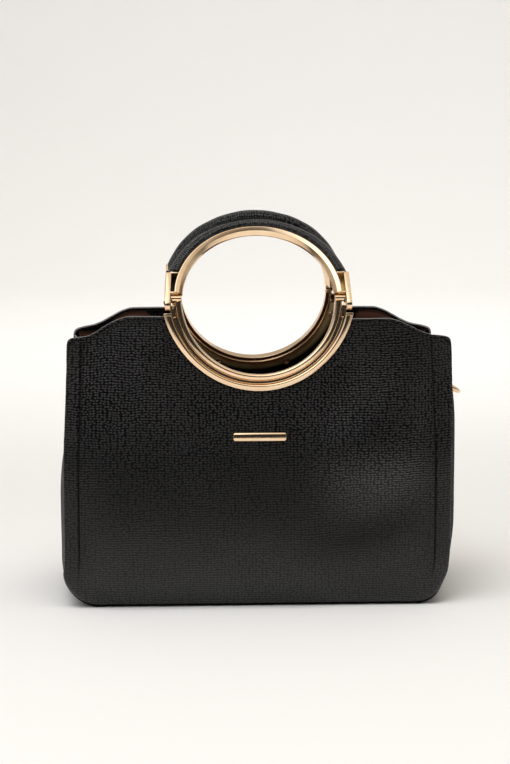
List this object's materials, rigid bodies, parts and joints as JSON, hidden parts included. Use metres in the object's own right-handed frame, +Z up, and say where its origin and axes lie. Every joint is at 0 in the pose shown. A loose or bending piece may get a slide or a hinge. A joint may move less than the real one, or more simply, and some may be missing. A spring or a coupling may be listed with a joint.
{
  "type": "handbag",
  "caption": "Structured black leather handbag with folding metal ring handles set in its broad walls, padded grips, open top and flat base.",
  "frame": {"origin": "on the floor under the middle of the body, on the resting face", "axes": "+Z up, -Y the front, +X to the right of someone looking at the front"},
  "size_m": [0.2969, 0.148, 0.2821],
  "materials": {
    "leather": "black cross-grained leather, satin",
    "lining": "dark reddish brown woven lining",
    "gold": "polished pale gold plating",
    "dull_gold": "darker gold plating on the inside plates and screws"
  },
  "bodies": {
    "bag": {"front_panel": "leather", "back_panel": "leather", "left_gusset": "leather", "right_gusset": "leather", "base_panel": "leather", "lining": "lining", "front_ring_lower": "gold", "front_ring_plate": "dull_gold", "front_hinge_pin_left": "gold", "front_hinge_pin_right": "gold", "front_plate_screw_1": "dull_gold", "front_plate_screw_2": "dull_gold", "front_plate_screw_3": "dull_gold", "front_plate_screw_4": "dull_gold", "back_ring_lower": "gold", "back_ring_plate": "dull_gold", "back_hinge_pin_left": "gold", "back_hinge_pin_right": "gold", "back_plate_screw_1": "dull_gold", "back_plate_screw_2": "dull_gold", "back_plate_screw_3": "dull_gold", "back_plate_screw_4": "dull_gold", "left_loop_tab": "leather", "left_loop": "gold", "right_loop_tab": "leather", "right_loop": "gold", "front_bar": "gold"},
    "front_handle": {"front_handle_arch": "gold", "front_handle_grip": "leather"},
    "back_handle": {"back_handle_arch": "gold", "back_handle_grip": "leather"}
  },
  "joints": [
    {"name": "front_handle_hinge", "type": "hinge", "parent": "bag", "child": "front_handle", "pos_m": [0, -0.041, 0.2215], "axis": [1, 0, 0], "range_deg": [0, 80]},
    {"name": "back_handle_hinge", "type": "hinge", "parent": "bag", "child": "back_handle", "pos_m": [0, 0.041, 0.2215], "axis": [-1, 0, 0], "range_deg": [0, 75]}
  ]
}
